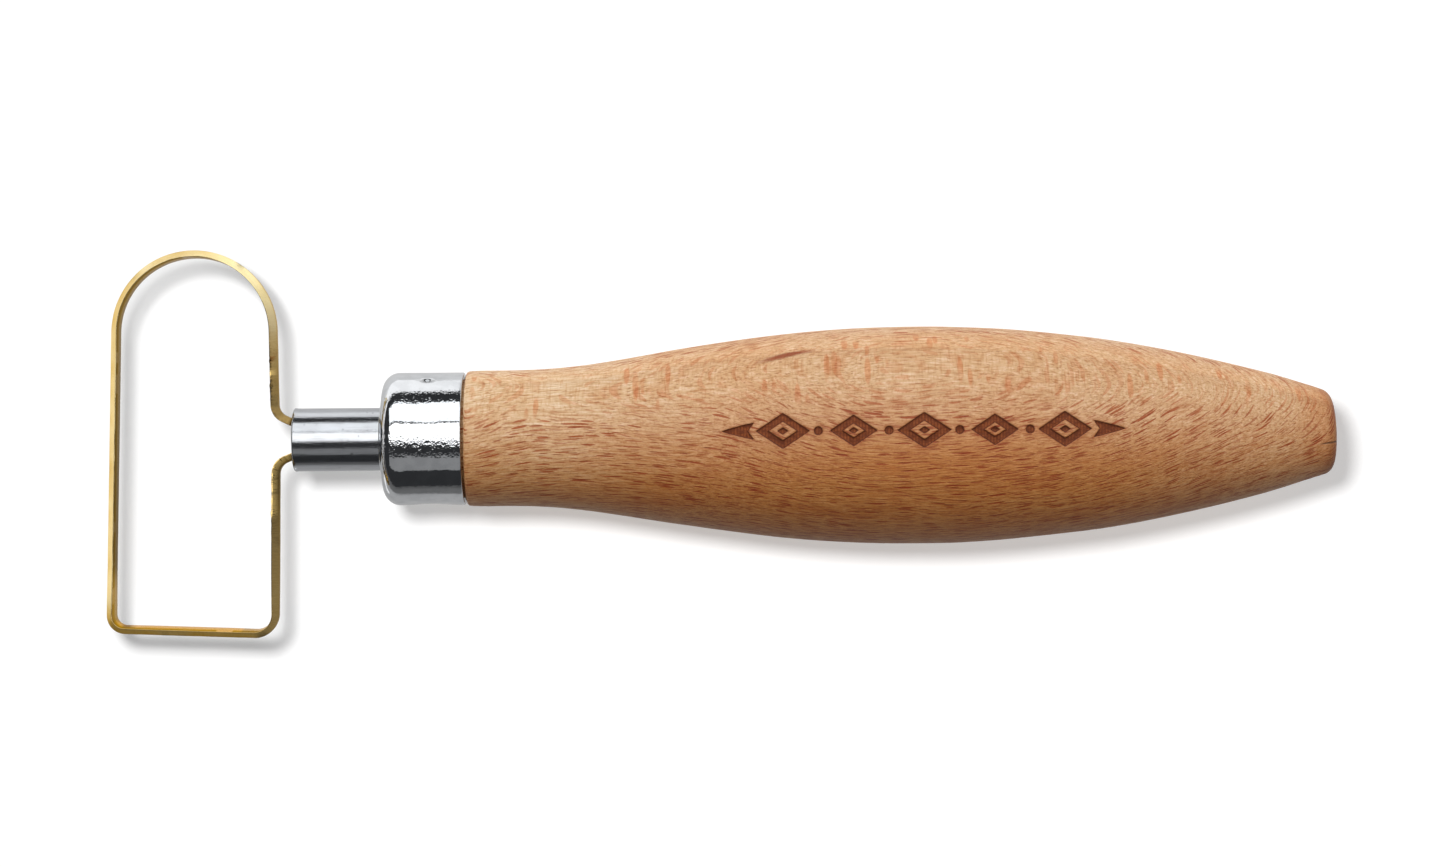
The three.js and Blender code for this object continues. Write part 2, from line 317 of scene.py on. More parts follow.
def beech():
    n = Nodes("beech_wood")
    p = n.millimetres()
    x, y, z = n.split(p)

    # The blank's own directions: r runs out from the pith, t round the rings.
    T = (0.0, 0.669, 0.743)
    Rd = (0.0, -0.743, 0.669)
    t = n.vec("DOT_PRODUCT", p, T)
    r = n.vec("DOT_PRODUCT", p, Rd)

    # wandering grain
    xs = np.linspace(0, 160, 161)
    slope = np.interp(xs, [a for a, _ in SLOPE], [b for _, b in SLOPE])
    rise = np.concatenate([[0], np.cumsum((slope[1:] + slope[:-1]) / 2)])
    low, high = float(rise.min()), float(rise.max())
    node = n.add("ShaderNodeFloatCurve")
    n.put(node.inputs["Value"], n.math("DIVIDE", x, 160.0, clamp=True))
    curve = node.mapping.curves[0]
    knots = np.linspace(0, 160, 17)
    while len(curve.points) < len(knots):
        curve.points.new(0.5, 0.5)
    for point, k in zip(curve.points, knots):
        point.location = (float(k / 160), float((np.interp(k, xs, rise) - low) / (high - low)))
    node.mapping.update()
    drift = n.math("MULTIPLY_ADD", node.outputs["Value"], high - low, low)

    sway = n.noise(n.vec("MULTIPLY", p, (1 / 26.0, 1 / 11.0, 1 / 11.0)), detail=1.0, color=True)
    sway_x, sway_y, sway_z = n.split(sway)
    ripple = n.noise(n.vec("MULTIPLY", p, (1 / 6.0, 1 / 3.0, 1 / 3.0)), detail=1.0)
    tw = n.math("SUBTRACT", t, drift)
    tw = n.math("MULTIPLY_ADD", n.math("SUBTRACT", sway_x, 0.5), 2.6, tw)
    tw = n.math("MULTIPLY_ADD", n.math("SUBTRACT", ripple, 0.5), 0.34, tw)
    rw = n.math("MULTIPLY_ADD", n.math("SUBTRACT", sway_y, 0.5), 5.0, r)

    def grain(sx, st, sr, ox=0.0):
        return n.combine(
            n.math("MULTIPLY_ADD", x, 1 / sx, ox),
            n.math("MULTIPLY", tw, 1 / st),
            n.math("MULTIPLY", rw, 1 / sr),
        )

    # ---- ground colour: pale on the +Y side, deeper and more orange out along r towards the −Y side; partly the wood's own colour and partly painted shade on the shaded −Y side
    broad = n.noise(grain(30, 6, 14), detail=2.0)
    side = n.ramp(n.math("MULTIPLY_ADD", n.math("SUBTRACT", sway_z, 0.5), 6.0, r), 1.0, 15.5)
    color = n.mix(side, (0.725, 0.462, 0.250), (0.560, 0.228, 0.060))
    color = n.mix(n.ramp(broad, 0.36, 0.68, 0.0, 0.42), color, n.mix(1.0, color, (0.93, 0.77, 0.60), "MULTIPLY"))
    # growth rings
    rings = n.noise(n.combine(n.math("MULTIPLY", x, 1 / 120.0), n.math("MULTIPLY", tw, 1 / 18.0), n.math("MULTIPLY", rw, 1 / 2.0)), detail=2.5, rough=0.6)
    color = n.mix(n.ramp(rings, 0.50, 0.72, 0.0, 0.40), color, n.mix(1.0, color, (0.80, 0.64, 0.50), "MULTIPLY"))
    # clouds of darker and lighter tissue
    cloud = n.noise(grain(11, 1.8, 7.0, 4.4), detail=3.0, rough=0.6)
    color = n.mix(n.ramp(cloud, 0.52, 0.76, 0.0, 0.55), color, n.mix(1.0, color, (0.84, 0.60, 0.41), "MULTIPLY"))
    color = n.mix(n.ramp(cloud, 0.24, 0.46, 0.60, 0.0), color, n.mix(1.0, color, (1.07, 1.13, 1.22), "MULTIPLY"))
    # fine cross hatch of the small rays where the surface runs along them
    hatch = n.noise(grain(0.36, 0.22, 3.2, 1.3), detail=1.5, rough=0.6)
    color = n.mix(n.ramp(hatch, 0.50, 0.72, 0.0, 0.68), color, n.mix(1.0, color, (0.85, 0.66, 0.50), "MULTIPLY"))
    color = n.mix(n.ramp(hatch, 0.26, 0.48, 0.68, 0.0), color, n.mix(1.0, color, (1.07, 1.14, 1.24), "MULTIPLY"))
    # fibres: long fine streaks, dark and light
    fibre = n.noise(grain(5.2, 0.25, 0.25), detail=2.0, rough=0.6)
    color = n.mix(n.ramp(fibre, 0.28, 0.50, 0.95, 0.0), color, n.mix(1.0, color, (0.74, 0.55, 0.37), "MULTIPLY"))
    color = n.mix(n.ramp(fibre, 0.50, 0.70, 0.0, 0.95), color, n.mix(1.0, color, (1.15, 1.28, 1.55), "MULTIPLY"))
    pores = n.noise(grain(1.5, 0.15, 0.15, 7.7), detail=1.5, rough=0.6)
    color = n.mix(n.ramp(pores, 0.28, 0.45, 0.85, 0.0), color, n.mix(1.0, color, (0.66, 0.44, 0.28), "MULTIPLY"))
    # paler towards the ferrule; darker and browner at the butt, painted shade on the end that faces away from the light
    color = n.mix(n.ramp(x, 30.0, 66.0, 0.85, 0.0), color, n.mix(1.0, color, (1.07, 1.18, 1.27), "MULTIPLY"))
    color = n.mix(n.ramp(x, 148.0, 156.0), color, n.mix(1.0, color, (0.86, 0.71, 0.58), "MULTIPLY"))
    color = n.mix(n.ramp(x, 154.8, 156.9), color, n.mix(1.0, color, (0.66, 0.56, 0.47), "MULTIPLY"))

    # ---- rays: thin upright lenses that run out from the pith. Along the rings they show as short dashes, on the radial
    # side as broad flecks. Each cell of the pattern has its own strength.
    def rays(sx, st, sr, lo, hi, keep, ox):
        distance, cell = n.voronoi(grain(sx, st, sr, ox), randomness=1.0)
        strength = n.split(cell)[0]
        return n.math("MULTIPLY", n.ramp(distance, lo, hi, 1.0, 0.0), n.ramp(strength, keep, keep + 0.45, 0.0, 1.0, smooth=False))

    big = rays(4.4, 0.30, 8.0, 0.29, 0.35, 0.30, 0.0)
    middle = rays(3.6, 0.24, 7.0, 0.28, 0.35, 0.25, 5.3)
    small = rays(2.4, 0.18, 5.0, 0.24, 0.38, 0.15, 2.9)
    mask = n.math("MAXIMUM", big, n.math("MULTIPLY", middle, 0.95))
    mask = n.math("MAXIMUM", mask, n.math("MULTIPLY", small, 0.70))
    # where the surface faces along the rings a ray is cut flat and looks paler
    normal_in = n.add("ShaderNodeTexCoord").outputs["Normal"]
    facing = n.math("ABSOLUTE", n.vec("DOT_PRODUCT", normal_in, T))
    weight = n.ramp(facing, 0.86, 0.98, 1.0, 0.45)
    flat = n.ramp(facing, 0.84, 0.98)
    # there the rays show as short upright bars, in clusters
    bars = rays(1.5, 2.6, 8.0, 0.25, 0.36, 0.10, 8.1)
    bars = n.math("MULTIPLY", bars, n.ramp(n.noise(grain(9.0, 3.0, 9.0, 2.2), detail=1.0), 0.40, 0.56))
    bars = n.math("MULTIPLY", bars, n.ramp(facing, 0.88, 0.96))
    # one pointed streak and one open pore line near the butt
    def mark(station, ly, lz, length, width, tilt, bend=0.0):
        d = n.vec("SUBTRACT", p, (station, ly, lz))
        dx, dy, dz = n.split(d)
        across = n.math("SUBTRACT", dy, n.math("MULTIPLY", dx, tilt))
        if bend:
            across = n.math("SUBTRACT", across, n.math("MULTIPLY", n.math("MULTIPLY", dx, dx), bend))
        across = n.math("MULTIPLY_ADD", n.math("SUBTRACT", ripple, 0.5), 0.5, across)
        e = n.vec("LENGTH", n.combine(n.math("DIVIDE", dx, length), n.math("DIVIDE", across, width), n.math("DIVIDE", dz, 8.0)))
        return n.ramp(e, 0.30, 1.0, 1.0, 0.0)

    streak = mark(74.4, 12.0, 9.5, 5.6, 0.52, 0.215, -0.010)
    crack = mark(156.2, -1.6, 6.0, 2.6, 0.22, 0.14)
    tint = n.math("MULTIPLY", mask, weight)
    color = n.mix(n.math("MULTIPLY", bars, 0.75), color, n.mix(1.0, color, (0.90, 0.56, 0.36), "MULTIPLY"))
    color = n.mix(tint, color, n.mix(1.0, color, n.mix(flat, (0.58, 0.235, 0.105), (0.84, 0.46, 0.27)), "MULTIPLY"))
    color = n.mix(streak, color, n.mix(1.0, color, (0.46, 0.18, 0.09), "MULTIPLY"))
    color = n.mix(n.math("MULTIPLY", crack, n.ramp(pores, 0.3, 0.6, 0.95, 0.6)), color, (0.075, 0.028, 0.012))

    # ---- burned ornament: attribute burn is 1 in the recess, and its slope lies at the edge
    burn = n.attribute("burn")
    char = n.attribute("scorch")
    edge = n.math("MULTIPLY", n.ramp(burn, 0.02, 0.40), n.ramp(burn, 0.66, 0.98, 1.0, 0.0))
    lines = n.math("MULTIPLY_ADD", n.math("SINE", n.math("MULTIPLY", x, 2 * math.pi / 0.46)), 0.5, 0.5)
    blot = n.noise(n.vec("MULTIPLY", p, (1.1, 1.7, 1.7)), detail=4.0, rough=0.65)
    floor_color = n.mix(n.math("MULTIPLY", n.ramp(lines, 0.1, 0.9, 0.35, 1.0), n.ramp(blot, 0.32, 0.66)), (0.135, 0.026, 0.004), (0.280, 0.068, 0.014))
    color = n.mix(n.math("MULTIPLY", char, 0.75), color, n.mix(1.0, color, (0.70, 0.44, 0.27), "MULTIPLY"))
    color = n.mix(n.ramp(burn, 0.20, 0.70), color, floor_color)
    color = n.mix(n.math("MULTIPLY", edge, 0.92), color, (0.085, 0.016, 0.003))

    # ---- surface
    height = n.math("MULTIPLY", mask, -0.45)
    height = n.math("MULTIPLY_ADD", n.ramp(fibre, 0.25, 0.75), 0.50, height)
    height = n.math("MULTIPLY_ADD", n.ramp(pores, 0.25, 0.6), 0.60, height)
    height = n.math("MULTIPLY_ADD", crack, -3.0, height)
    height = n.math("MULTIPLY_ADD", n.math("MULTIPLY", n.ramp(blot, 0.3, 0.7), burn), 1.1, height)
    normal = n.bump(height, 0.6, 0.00007)
    rough = n.math("MULTIPLY_ADD", broad, 0.12, 0.42)
    rough = n.math("MULTIPLY_ADD", mask, 0.10, rough)
    rough = n.math("MULTIPLY_ADD", burn, 0.35, rough)
    n.shader(Base_Color=color, Roughness=rough, Normal=normal, IOR=1.47)
    return n.material


# ------------------------------------------------------------------ metals, resin and glue
def chrome():
    n = Nodes("chrome_plate")
    p = n.millimetres()
    pebble = n.noise(n.vec("SCALE", p, scale=2.7), detail=1.0, rough=0.6)
    orange = n.noise(n.vec("SCALE", p, scale=0.55), detail=1.0)
    x, y, z = n.split(p)
    draw = n.noise(n.combine(n.math("MULTIPLY", x, 0.12), n.math("MULTIPLY", y, 1.6), n.math("MULTIPLY", z, 1.6)), detail=2.0)
    speck = n.noise(n.vec("SCALE", p, scale=5.5), detail=1.0)
    tone = n.mix(n.ramp(orange, 0.35, 0.65), (0.70, 0.715, 0.735), (0.64, 0.655, 0.675))
    tone = n.mix(n.ramp(speck, 0.66, 0.76, 0.0, 0.35), tone, (0.45, 0.44, 0.43))
    tone = n.mix(n.math("MULTIPLY", n.attribute("pit"), 0.75), tone, (0.16, 0.16, 0.16))
    # the plating is grainy in two bands along the upper side and nearly smooth elsewhere
    low_band = n.math("MULTIPLY", n.ramp(y, -3.0, -2.2), n.ramp(y, 0.5, 1.5, 1.0, 0.0))
    high_band = n.math("MULTIPLY", n.ramp(y, 5.3, 6.0), n.ramp(y, 6.8, 7.4, 0.75, 0.0))
    grainy = n.math("MULTIPLY", n.math("MAXIMUM", low_band, high_band), n.ramp(z, 0.0, 3.0))
    pebble = n.math("MULTIPLY", n.math("SUBTRACT", pebble, 0.5), n.math("MULTIPLY_ADD", grainy, 1.40, 0.30))
    height = n.math("MULTIPLY_ADD", orange, 0.9, pebble)
    height = n.math("MULTIPLY_ADD", draw, 0.30, height)
    normal = n.bump(height, 1.0, 0.00003)
    rough = n.ramp(speck, 0.40, 0.80, 0.045, 0.12)
    n.shader(Base_Color=tone, Metallic=1.0, Roughness=rough, Normal=normal)
    return n.material


def steel():
    n = Nodes("stem_steel")
    p = n.millimetres()
    x, y, z = n.split(p)
    lines = n.noise(n.combine(n.math("MULTIPLY", x, 0.16), n.math("MULTIPLY", y, 4.5), n.math("MULTIPLY", z, 4.5)), detail=3.0, rough=0.65)
    wide = n.noise(n.combine(n.math("MULTIPLY", x, 0.30), n.math("MULTIPLY", y, 0.9), n.math("MULTIPLY", z, 0.9)), detail=2.0)
    spots = n.noise(n.vec("SCALE", p, scale=1.1), detail=3.0)
    tone = n.mix(n.ramp(wide, 0.3, 0.7), (0.52, 0.535, 0.56), (0.47, 0.48, 0.50))
    tone = n.mix(n.ramp(lines, 0.55, 0.75, 0.0, 0.45), tone, (0.33, 0.33, 0.34))
    tone = n.mix(n.ramp(spots, 0.66, 0.72, 0.0, 0.5), tone, (0.16, 0.16, 0.16))
    normal = n.bump(lines, 0.42, 0.00003)
    rough = n.math("MULTIPLY_ADD", lines, 0.12, 0.10)
    n.shader(Base_Color=tone, Metallic=1.0, Roughness=rough, Normal=normal)
    return n.material


def gold():
    """Hard coating on ground spring steel. UV: u runs along the strip and v round its section, in millimetres."""
    n = Nodes("gold_coating")
    uv = n.add("ShaderNodeUVMap", uv_map="sweep").outputs[0]
    u, v, _ = n.split(uv)
    p = n.millimetres()
    scratches = n.noise(n.combine(n.math("MULTIPLY", u, 0.22), n.math("MULTIPLY", v, 9.0), 0.0), detail=3.0, rough=0.65)
    cross = n.noise(n.combine(n.math("MULTIPLY", u, 5.0), n.math("MULTIPLY", v, 0.5), 3.0), detail=2.0, rough=0.6)
    cloud = n.noise(n.vec("SCALE", p, scale=0.16), detail=3.0)
    spots = n.noise(n.vec("SCALE", p, scale=1.9), detail=3.0, rough=0.6)
    tone = n.mix(n.ramp(cloud, 0.35, 0.65), (0.80, 0.675, 0.400), (0.72, 0.575, 0.310))
    tone = n.mix(n.ramp(scratches, 0.55, 0.78, 0.0, 0.45), tone, (0.93, 0.77, 0.45))
    tone = n.mix(n.ramp(cross, 0.62, 0.78, 0.0, 0.35), tone, (0.52, 0.34, 0.12))
    tone = n.mix(n.ramp(spots, 0.75, 0.80, 0.0, 0.40), tone, (0.22, 0.13, 0.05))
    # painted highlight: the gold over the arch made lighter
    tone = n.mix(n.attribute("arch_highlight"), tone, n.mix(1.0, tone, (1.20, 1.24, 1.20), "MULTIPLY"))
    # the inner face: saturated orange-gold, the coating's colour with a painted reflection of the overhead light, left
    # showing along the lower bar; painted shade makes it dark brown in the arch and down the far wall
    inside = n.math("MAXIMUM", n.ramp(v, 2.17, 2.24, 1.0, 0.0), n.ramp(v, SECTION_LENGTH - 2.24, SECTION_LENGTH - 2.17))
    inner_gold_and_glint = n.mix(n.ramp(cross, 0.35, 0.70), (0.98, 0.59, 0.085), (0.90, 0.52, 0.070))
    tone = n.mix(inside, tone, inner_gold_and_glint)
    # painted shade: the inner face darkened in the arch, down the far wall and partly by the lower neck
    dark_in = n.math("MULTIPLY", n.attribute("inner_painted_shade"), n.ramp(scratches, 0.30, 0.75, 1.0, 0.86))
    tone = n.mix(n.math("MULTIPLY", inside, dark_in), tone, n.mix(cloud, (0.105, 0.083, 0.078), (0.160, 0.128, 0.120)))
    # painted shade: the outer bevel made browner and darker down the near wall and along the lower bar
    dark_out = n.math("MULTIPLY", n.attribute("outer_painted_shade"), n.ramp(cross, 0.30, 0.75, 1.0, 0.80))
    dark_out = n.math("MULTIPLY", n.math("SUBTRACT", 1.0, inside), dark_out)
    tone = n.mix(n.ramp(dark_out, 0.12, 0.48), tone, n.mix(1.0, tone, (1.0, 0.87, 0.62), "MULTIPLY"))
    tone = n.mix(dark_out, tone, n.mix(1.0, tone, (0.13, 0.105, 0.085), "MULTIPLY"))
    # the coating is rubbed thin and darker where the strip is squeezed round the upper neck
    worn = n.math("MULTIPLY", n.attribute("worn"), n.ramp(v, 2.48, 2.86, 1.0, 0.0))
    tone = n.mix(n.math("MULTIPLY", worn, n.ramp(cross, 0.44, 0.58, 1.0, 0.0)), tone, (0.09, 0.055, 0.022))
    # where the burr of the rim was struck flat below the lower neck the facets are real; the lighter gold on them is
    # painted highlight, and they are a little rougher
    struck_rim_highlight = n.math("MULTIPLY", n.attribute("struck_rim_highlight"), n.ramp(cross, 0.30, 0.42))
    tone = n.mix(struck_rim_highlight, tone, (1.0, 0.72, 0.27))
    height = n.math("MULTIPLY_ADD", cross, 0.7, scratches)
    normal = n.bump(height, 0.38, 0.00003)
    rough = n.math("MULTIPLY_ADD", scratches, 0.16, 0.13)
    rough = n.math("MULTIPLY_ADD", struck_rim_highlight, 0.16, rough)
    n.shader(Base_Color=tone, Metallic=1.0, Roughness=rough, Normal=normal, Specular_Tint=(0.74, 0.55, 0.27))
    return n.material


def resin():
    n = Nodes("cast_resin")
    p = n.millimetres()
    flow = n.noise(n.vec("SCALE", p, scale=0.7), detail=3.0, distortion=0.8)
    bubbles, _ = n.voronoi(n.vec("SCALE", p, scale=1.6))
    tone = n.mix(n.ramp(flow, 0.3, 0.7), (0.055, 0.042, 0.030), (0.15, 0.105, 0.06))
    tone = n.mix(n.ramp(bubbles, 0.10, 0.16, 0.5, 0.0), tone, (0.32, 0.25, 0.17))
    height = n.math("MULTIPLY_ADD", n.ramp(bubbles, 0.08, 0.2), 1.0, flow)
    n.shader(Base_Color=tone, Roughness=n.ramp(flow, 0.3, 0.7, 0.16, 0.36), Normal=n.bump(height, 0.4, 0.00008), IOR=1.5)
    return n.material


def glue():
    n = Nodes("cured_adhesive")
    p = n.millimetres()
    flow = n.noise(n.vec("SCALE", p, scale=0.5), detail=3.0, distortion=1.2)
    bubbles, _ = n.voronoi(n.vec("SCALE", p, scale=1.1))
    tone = n.mix(n.ramp(flow, 0.3, 0.7), (0.62, 0.50, 0.26), (0.74, 0.64, 0.40))
    tone = n.mix(n.ramp(bubbles, 0.12, 0.18, 0.5, 0.0), tone, (0.86, 0.80, 0.62))
    n.shader(Base_Color=tone, Roughness=n.ramp(flow, 0.3, 0.7, 0.22, 0.42), Normal=n.bump(flow, 0.4, 0.0001), IOR=1.5,
             Subsurface_Weight=0.15)
    return n.material


# ------------------------------------------------------------------ handle
HANDLE_PROFILE = np.array([
    (26.6, 10.10), (27.4, 10.26), (28.6, 10.31), (31.0, 10.31), (34.2, 10.33), (38.7, 10.52), (43.3, 10.95), (47.8, 11.58), (52.3, 12.31),
    (56.9, 13.09), (61.4, 13.78), (65.9, 14.43), (70.5, 15.04), (75.0, 15.55), (79.5, 15.95), (84.1, 16.24),
    (88.6, 16.41), (91.7, 16.46), (94.7, 16.475), (97.7, 16.46), (102.4, 16.3), (107.7, 15.98), (112.2, 15.57), (116.7, 15.09),
    (121.3, 14.55), (125.8, 13.86), (130.4, 13.02), (134.8, 12.12), (139.2, 11.13), (143.7, 10.03), (148.3, 8.82), (152.8, 7.42), (154.6, 6.86),
])
FERRULE_FRONT, FERRULE_REAR, FERRULE_R, FERRULE_WALL = 13.6, 25.9, 10.05, 0.8
STEM_R, STEM_WALL = 4.7625, 0.89
BORE_R = STEM_R + 0.3
TENON_R = FERRULE_R - FERRULE_WALL - 0.3
BUTT = 157.23


def spline(points, x):
    """Smooth interpolation through the profile's points."""
    px, py = points[:, 0], points[:, 1]
    m = np.gradient(py, px)
    k = np.clip(np.searchsorted(px, x) - 1, 0, len(px) - 2)
    h = px[k + 1] - px[k]
    s = (x - px[k]) / h
    return (
        (2 * s**3 - 3 * s**2 + 1) * py[k]
        + (s**3 - 2 * s**2 + s) * h * m[k]
        + (-2 * s**3 + 3 * s**2) * py[k + 1]
        + (s**3 - s**2) * h * m[k + 1]
    )


# The ornament: a chain of bold hollow lozenges with a round dot between neighbours and a dart at each end.
ORNAMENT_X0, ORNAMENT_X1, ORNAMENT_Y = 64.8, 124.3, 0.75
LOZENGES = (-2, -1, 0, 1, 2)
PITCH = 10.4


def ornament(station, y):
    """How far into the burned figure a point is, in millimetres: positive inside."""
    u = station - (ORNAMENT_X0 + ORNAMENT_X1) / 2
    v = y - ORNAMENT_Y
    best = np.full(np.shape(u), -9.0)
    for k in LOZENGES:
        du = np.abs(u - k * PITCH)
        a, b = (3.95, 2.62) if k % 2 == 0 else (3.45, 2.30)
        norm = math.hypot(1 / a, 1 / b)
        outer = (1 - du / a - np.abs(v) / b) / norm
        best = np.maximum(best, np.minimum(outer, 1.02 - outer))
        core = (0.20 - du / a - np.abs(v) / b) / norm
        best = np.maximum(best, core)
    for k in (-1.5, -0.5, 0.5, 1.5):
        best = np.maximum(best, 0.62 - np.hypot(u - k * PITCH, v))
    for side in (-1, 1):
        w = side * u
        start, end = 2 * PITCH + 4.25, 29.75
        # a dart: full near its root, drawn out to a point, notched at the back
        half = 1.25 * np.clip((end - w) / (end - start), 0, 1) ** 0.85
        back = w - start - 0.9 * (1 - np.abs(v) / 1.3)
        best = np.maximum(best, np.minimum(half - np.abs(v), np.minimum(back, end - w)))
    return best


def handle_piece():
    front = np.array([[54.2, 0.0], [54.2, BORE_R * 0.5], [54.2, BORE_R], [30.0, BORE_R], [14.9, BORE_R], [14.7, BORE_R + 0.2],
                      [14.7, TENON_R - 1.6], [15.4, TENON_R - 0.5], [16.3, TENON_R], [21.0, TENON_R], [26.1, TENON_R],
                      [26.2, TENON_R + 0.1], [26.2, 9.35]])
    lip = arc(26.68, 9.72, 0.46, 180, 100, 7)
    lip = np.vstack([[26.2, 9.6], lip, [27.1, 10.235]])
    a = np.arange(27.5, 64.4, 0.75)
    b = np.arange(64.4, 124.6, 0.16)
    c = np.arange(124.6, 154.4, 0.8)
    xs = np.concatenate([a, b, c])
    outer = np.stack([xs, spline(HANDLE_PROFILE, xs) * 0.9963], axis=-1)
    # rounded butt
    r_end = 1.9
    slope = -0.31
    last_x, last_r = outer[-1]
    cx = BUTT - r_end
    # the cone's line meets the rounding tangentially
    r_at = last_r + slope * (cx + r_end * math.sin(math.atan(-slope)) - last_x)
    cy = r_at - r_end * math.cos(math.atan(-slope))
    lead = np.linspace(last_x + 0.5, cx + r_end * math.sin(math.atan(-slope)) - 0.25, 3)
    lead = np.stack([lead, last_r + slope * (lead - last_x)], axis=-1)
    butt = arc(cx, cy, r_end, 90 - math.degrees(math.atan(-slope)), 0, 14)
    face = np.array([[BUTT + 0.02, cy * 0.8], [BUTT + 0.05, cy * 0.45], [BUTT + 0.06, cy * 0.18], [BUTT + 0.06, 0.0]])
    profile = np.vstack([front, lip, outer, lead, butt, face])
    fine = np.arange(-10.6, 15.6, 0.4)
    rest = np.arange(15.6, 349.4, 3.0)
    angles = np.radians(np.concatenate([fine, rest]))

    def burn_of(S, A, R):
        y = R * np.sin(A)
        top = np.cos(A) > 0.5
        d = np.where(top & (R > 12) & (S > 60) & (S < 130), ornament(S, y), -9.0)
        return d

    def radial(S, A, R):
        outside = (R > 9.0) & (S > 26.9)
        d = burn_of(S, A, R)
        depth = -0.34 * smooth(-0.09, 0.13, d) + 0.02 * np.exp(-((d + 0.22) / 0.12) ** 2)
        hatch = 0.022 * np.sin(S * 2 * math.pi / 0.62) * smooth(0.1, 0.2, d)
        # hand sanding leaves the turned form very slightly uneven
        wave = 0.025 * (np.sin(S / 7.3 + 2.0 * np.sin(A + 0.6)) * np.cos(2 * A + 0.4) + 0.6 * np.sin(S / 3.9 + 3 * A))
        fade = smooth(28.0, 36.0, S) * (1 - smooth(150.0, 155.0, S)) * (1 - smooth(88.0, 92.0, S) * (1 - smooth(97.0, 101.0, S)))
        return np.where(outside, depth + hatch + wave * fade, 0.0)

    def extra(S, A, R):
        d = burn_of(S, A, R)
        return {"burn": smooth(-0.09, 0.13, d), "scorch": np.exp(-np.clip(-d, 0, 9) / 0.35) * (d > -3)}

    def shift(S, A, R):
        # the butt was cut a degree or two out of square: it stands further back on the far side
        return 0.02 * np.sin(A - math.radians(90)) * (R) * 0.0 - 0.030 * (R * np.sin(A)) * smooth(154.0, 157.0, S) - 0.13 * smooth(154.0, 157.0, S)

    obj = revolve("handle_beech", profile[:, 0], profile[:, 1], angles, radial=radial, extra=extra, shift=shift, sharp_deg=50)
    return face_outward(obj)


# ------------------------------------------------------------------ ferrule
STAKE_STATION, STAKE_ANGLE = 20.6, 62.0  # degrees from straight up towards +Y


def ferrule_piece():
    r = 2.55
    rim = 0.26
    outer = [
        arc(FERRULE_REAR - rim, FERRULE_R - rim, rim, 0, 90, 6),
        np.stack([np.concatenate([np.linspace(FERRULE_REAR - 0.6, STAKE_STATION + 1.6, 16), np.linspace(STAKE_STATION + 1.5, STAKE_STATION - 1.5, 30), np.linspace(STAKE_STATION - 1.6, FERRULE_FRONT + r + 0.2, 16)]), np.full(62, FERRULE_R)], axis=-1),
    ]
    a = np.radians(np.linspace(90, 180, 26))
    sh = np.stack([FERRULE_FRONT + r + (r) * np.cos(a), FERRULE_R - r + r * np.sin(a)], axis=-1)
    outer.append(sh)
    front = np.array([[FERRULE_FRONT + 0.0, 6.9], [FERRULE_FRONT - 0.03, 6.3], [FERRULE_FRONT - 0.10, 5.9]])
    lip = arc(FERRULE_FRONT - 0.10, BORE_R - 0.05 + 0.30, 0.30, 90, 270, 9)
    lip = lip[(lip[:, 1] > BORE_R - 0.08)]
    inner_hole = np.array([[FERRULE_FRONT + 0.3, BORE_R - 0.06], [FERRULE_FRONT + FERRULE_WALL, BORE_R]])
    ri = r - FERRULE_WALL
    b = np.radians(np.linspace(180, 90, 10))
    inner = np.stack([FERRULE_FRONT + r + ri * np.cos(b), FERRULE_R - r + ri * np.sin(b)], axis=-1)
    inside = np.array([[FERRULE_FRONT + FERRULE_WALL, 6.4]])
    back = np.array([[20.0, FERRULE_R - FERRULE_WALL], [FERRULE_REAR - 0.2, FERRULE_R - FERRULE_WALL], [FERRULE_REAR, FERRULE_R - FERRULE_WALL + 0.2]])
    profile = np.vstack(outer + [front, lip, inner_hole, inside, inner, back])
    coarse = np.arange(0, 360, 2.0)
    fine = np.concatenate([np.arange(STAKE_ANGLE - 8, STAKE_ANGLE + 8, 0.5), np.arange(STAKE_ANGLE + 172, STAKE_ANGLE + 188, 0.5)])
    angles = np.radians(np.unique(np.round(np.concatenate([coarse, fine]) % 360, 3)))
    keep = np.concatenate([[True], np.diff(angles) > math.radians(0.25)])
    angles = angles[keep]

    def radial(S, A, R):
        dr = np.zeros_like(S)
        wall = (R > FERRULE_R - 2.0) & (S > FERRULE_FRONT + 0.6)
        for centre in (STAKE_ANGLE, STAKE_ANGLE + 180):
            da = (A - math.radians(centre) + math.pi) % (2 * math.pi) - math.pi
            arc_mm = da * FERRULE_R
            rho = np.hypot((S - STAKE_STATION) / 1.35, arc_mm)
            dr -= 0.46 * np.exp(-((rho / 0.40) ** 2)) * (R > FERRULE_R - 0.5)
            dr -= 0.09 * np.exp(-((rho / 1.4) ** 2))
        # where the second mark was struck the cup is pressed in a little along its side
        da = (A - math.radians(268) + math.pi) % (2 * math.pi) - math.pi
        dr -= 0.24 * np.exp(-(((S - 20.8) / 3.2) ** 2) - ((da * FERRULE_R / 4.0) ** 2))
        wobble = 0.012 * np.sin(3 * A + 0.7) + 0.008 * np.sin(5 * A + S * 0.4)
        return np.where(wall, dr + wobble, 0.0)

    def extra(S, A, R):
        pit = np.zeros_like(S)
        for centre in (STAKE_ANGLE, STAKE_ANGLE + 180):
            da = (A - math.radians(centre) + math.pi) % (2 * math.pi) - math.pi
            rho = np.hypot((S - STAKE_STATION) / 1.35, da * FERRULE_R)
            pit = np.maximum(pit, np.exp(-((rho / 0.42) ** 2)) + 0.30 * np.exp(-((rho / 1.1) ** 2)))
        return {"pit": np.clip(pit, 0, 1) * (R > FERRULE_R - 0.75)}

    obj = revolve("ferrule_chrome", profile[:, 0], profile[:, 1], angles, radial=radial, closed=True, extra=extra, sharp_deg=48)
    return face_outward(obj)


